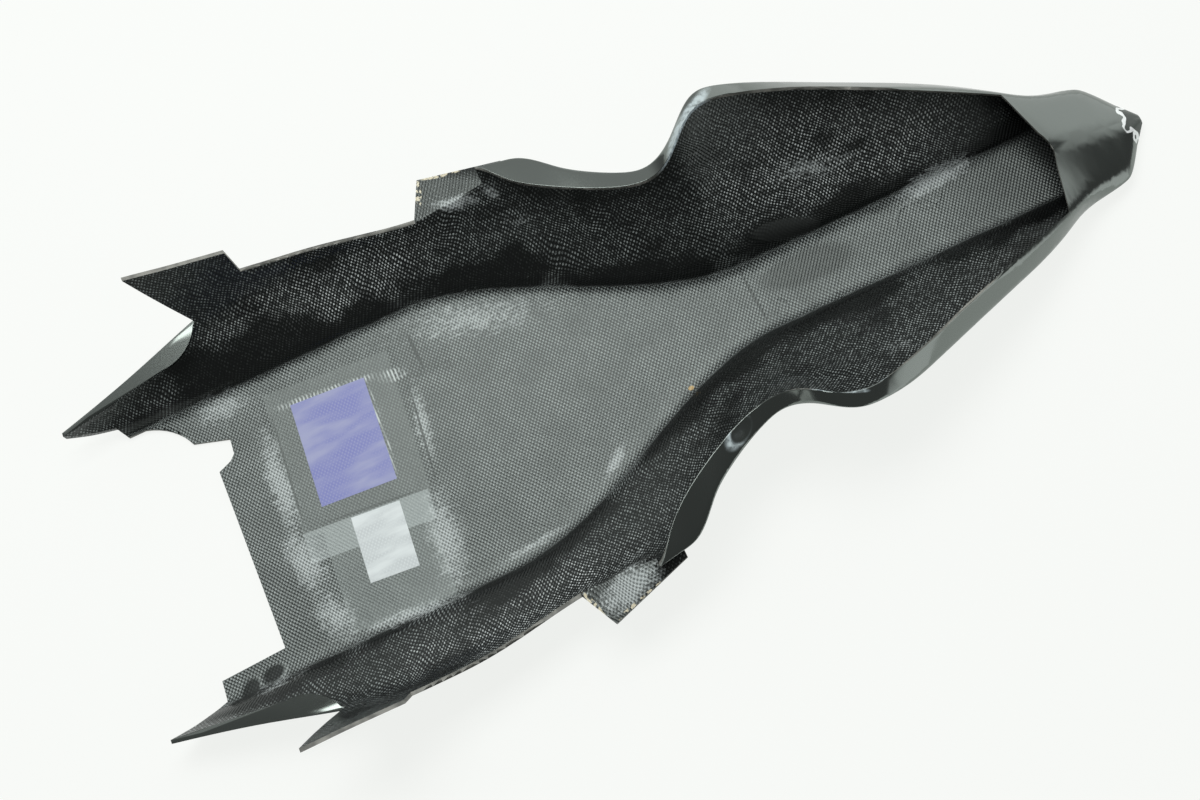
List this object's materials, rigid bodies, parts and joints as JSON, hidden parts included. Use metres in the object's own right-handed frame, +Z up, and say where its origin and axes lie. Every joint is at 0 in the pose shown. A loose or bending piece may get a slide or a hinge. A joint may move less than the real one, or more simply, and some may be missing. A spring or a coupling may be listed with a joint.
{
  "type": "motorcycle underseat cover",
  "caption": "Boat-shaped black laminate cover for the underside of a motorcycle seat tail: flat belly, flared side walls with turned-in lips, flat ears, front prongs and a closed pointed tail",
  "frame": {"origin": "middle of the length and width, on the flat belly that the part lies on", "axes": "+X along the part from the front prongs to the pointed tail, +Y to the left side seen towards the tail, +Z up, out of the open side"},
  "size_m": [0.76, 0.3388, 0.0934],
  "materials": {
    "laminate": "woven glass cloth in black resin, satin inside, glossy gelcoat outside",
    "label_blue": "bare printed label, satin",
    "label_silver": "bare label, satin"
  },
  "bodies": {
    "root": {"cover_shell": "laminate"}
  },
  "joints": []
}
